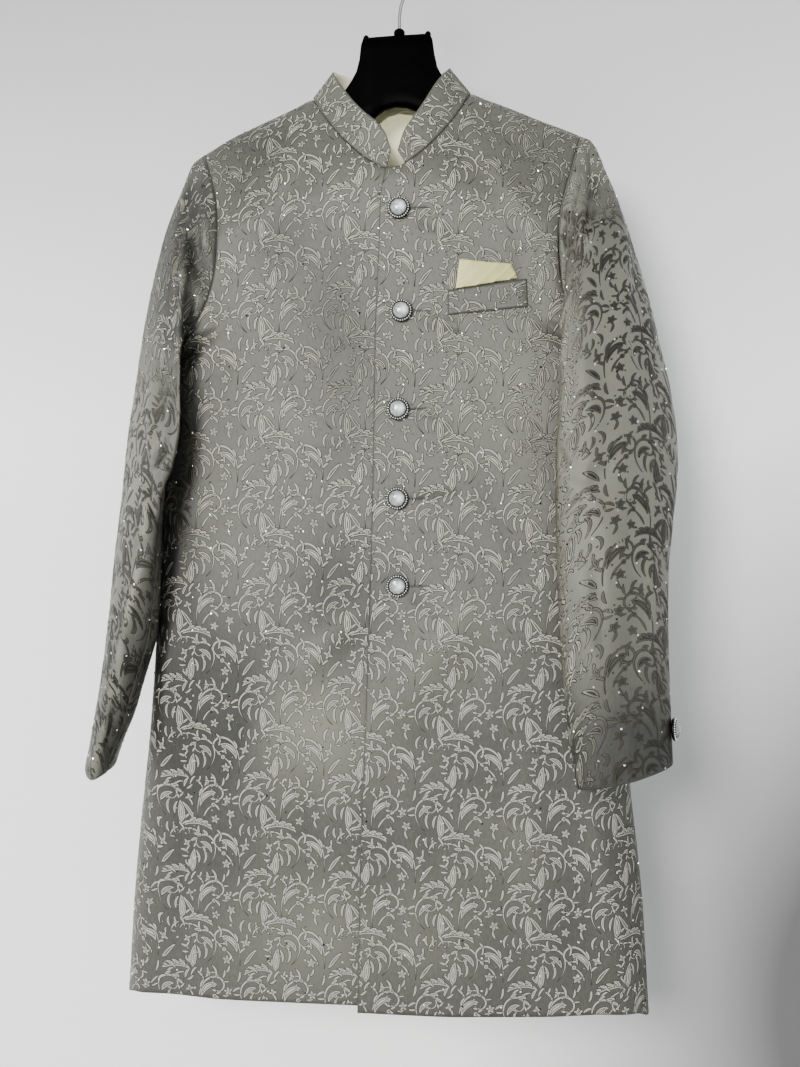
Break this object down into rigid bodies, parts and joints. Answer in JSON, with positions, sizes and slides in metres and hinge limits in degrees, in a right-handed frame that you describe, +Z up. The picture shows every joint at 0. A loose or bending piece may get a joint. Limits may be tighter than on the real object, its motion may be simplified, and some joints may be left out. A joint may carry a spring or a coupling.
{
  "type": "sherwani coat on a plain hanger",
  "caption": "Silver-grey brocade sherwani coat with a stand collar, jewelled buttons and a cream pocket square, on a black plastic hanger.",
  "frame": {"origin": "the point inside the top of the hanger hook where it rests on the rail", "axes": "+Z up, -Y the way the fronts face, +X toward the wearer's left sleeve"},
  "size_m": [0.6333, 0.1661, 1.1386],
  "materials": {
    "brocade": "satin",
    "lining": "satin",
    "button_metal": "polished",
    "hanger_plastic": "gloss",
    "hook_steel": "polished"
  },
  "bodies": {
    "root": {"front_under": "brocade", "front_over": "brocade", "back": "brocade", "collar_band": "brocade", "collar_lining": "lining", "back_neck_lining": "lining", "sleeve_right_top": "brocade", "sleeve_right_under": "brocade", "sleeve_left_top": "brocade", "sleeve_left_under": "brocade", "breast_welt": "brocade", "pocket_square": "lining", "button_1": "button_metal", "button_2": "button_metal", "button_3": "button_metal", "button_4": "button_metal", "button_5": "button_metal", "cuff_button_right": "button_metal", "cuff_button_left": "button_metal", "hanger_body": "hanger_plastic", "hanger_boss": "hanger_plastic", "hanger_hook": "hook_steel"}
  },
  "joints": []
}
